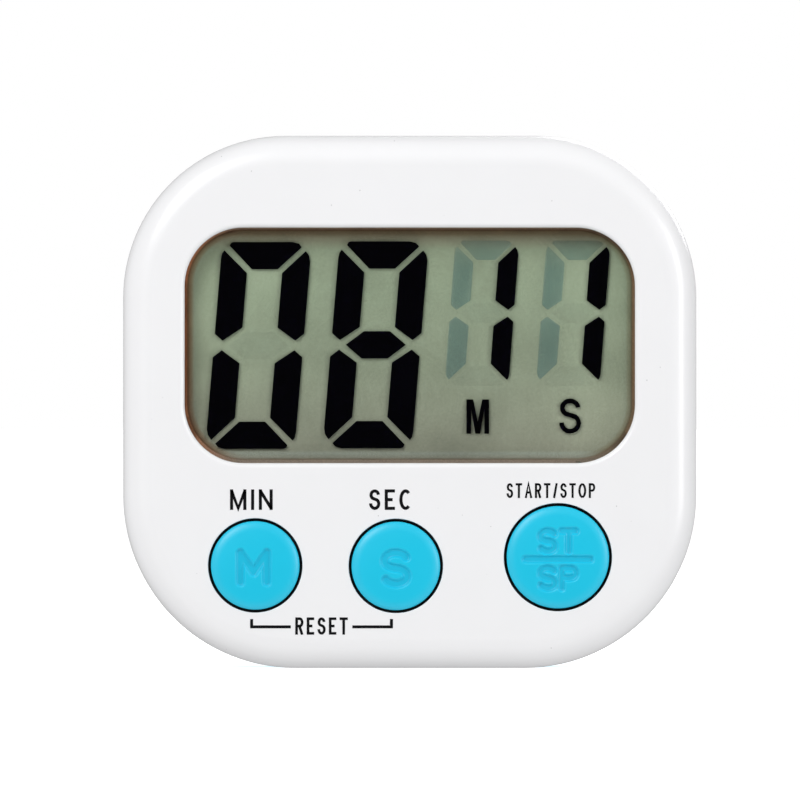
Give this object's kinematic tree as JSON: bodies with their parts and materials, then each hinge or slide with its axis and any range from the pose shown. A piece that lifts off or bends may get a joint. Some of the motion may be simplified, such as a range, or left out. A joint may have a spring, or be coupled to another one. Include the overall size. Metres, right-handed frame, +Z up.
{
  "type": "digital timer",
  "caption": "Pocket digital timer: a rounded white and cyan case with a large display, press keys, a fold-out stand, magnets and a battery door.",
  "frame": {"origin": "on the floor under the middle of the body, at the lower edge it stands on", "axes": "+Z up, +X to the viewer's right, -Y out of the face and +Y out of the back"},
  "size_m": [0.07, 0.0184, 0.065],
  "materials": {
    "white_shell": "white glossy ABS, softly reflecting",
    "cyan_shell": "cyan ABS with fine moulded texture",
    "cyan_key": "cyan ABS, satin, sunk letters",
    "clear_lens": "clear polished acrylic window",
    "brown_foam": "dark brown closed-cell foam tape",
    "polariser": "grey-green polarising film",
    "display_glass": "thin display glass",
    "reflector": "satin green-grey reflective film",
    "black_frame": "black moulded display holder",
    "elastomer": "striped conductive elastomer",
    "board": "green solder mask on glass-epoxy laminate",
    "epoxy": "black epoxy",
    "bright_metal": "bright drawn can",
    "resistor_body": "ceramic chip with tinned ends",
    "silicone": "grey translucent silicone rubber",
    "carbon_pill": "black conductive rubber",
    "brass_disc": "rolled brass sheet",
    "piezo_ceramic": "silvered ceramic wafer",
    "cell_can": "nickel-plated steel can in a printed sleeve",
    "cell_core": "compacted cell chemistry, sealed in the can",
    "spring_steel": "nickel-plated spring steel",
    "lead_red": "red PVC-insulated wire",
    "lead_black": "black PVC-insulated wire",
    "magnet": "nickel-plated magnet disc",
    "zinc_screw": "zinc-plated steel"
  },
  "bodies": {
    "body": {"battery_lead_black": "lead_black", "battery_lead_red": "lead_red", "battery_spring": "spring_steel", "board_screws": "zinc_screw", "capacitor": "bright_metal", "case_screws": "zinc_screw", "chip_blob": "epoxy", "chip_resistors": "resistor_body", "circuit_board": "board", "crystal": "bright_metal", "front_shell": "white_shell", "keypad_mat": "silicone", "lcd_frame": "black_frame", "lcd_front_glass": "display_glass", "lcd_front_polariser": "polariser", "lcd_rear_glass": "display_glass", "lcd_reflector": "reflector", "lens_gasket": "brown_foam", "magnet_left": "magnet", "magnet_right": "magnet", "negative_contact": "spring_steel", "piezo_ceramic": "piezo_ceramic", "piezo_disc": "brass_disc", "piezo_leads": "lead_black", "positive_contact": "spring_steel", "rear_shell": "cyan_shell", "transistor": "epoxy", "window_lens": "clear_lens", "zebra_strip": "elastomer"},
    "minute_key": {"minute_button": "cyan_key", "minute_contact_pill": "carbon_pill", "minute_plunger": "silicone"},
    "second_key": {"second_button": "cyan_key", "second_contact_pill": "carbon_pill", "second_plunger": "silicone"},
    "start_stop_key": {"start_stop_button": "cyan_key", "start_stop_contact_pill": "carbon_pill", "start_stop_plunger": "silicone"},
    "stand": {"kickstand": "cyan_shell"},
    "door": {"battery_door": "cyan_shell"},
    "cell": {"battery_can": "cell_can", "battery_core": "cell_core"}
  },
  "joints": [
    {"name": "minute_press", "type": "slide", "parent": "body", "child": "minute_key", "axis": [0, 1, 0], "range_m": [0, 0.0008], "stiffness_N_per_m": 1500},
    {"name": "second_press", "type": "slide", "parent": "body", "child": "second_key", "axis": [0, 1, 0], "range_m": [0, 0.0008], "stiffness_N_per_m": 1500},
    {"name": "start_stop_press", "type": "slide", "parent": "body", "child": "start_stop_key", "axis": [0, 1, 0], "range_m": [0, 0.0008], "stiffness_N_per_m": 1500},
    {"name": "stand_fold", "type": "hinge", "parent": "body", "child": "stand", "pos_m": [0, 0.00795, 0.0486], "axis": [1, 0, 0], "range_deg": [0, 60]},
    {"name": "door_lift", "type": "slide", "parent": "body", "child": "door", "axis": [0, 1, 0], "range_m": [0, 0.03]},
    {"name": "cell_lift", "type": "slide", "parent": "body", "child": "cell", "axis": [0, 1, 0], "range_m": [0, 0.015]}
  ],
  "couplings": [
    {"joint": "cell_lift", "follows": "door_lift", "ratio": 0.5}
  ]
}
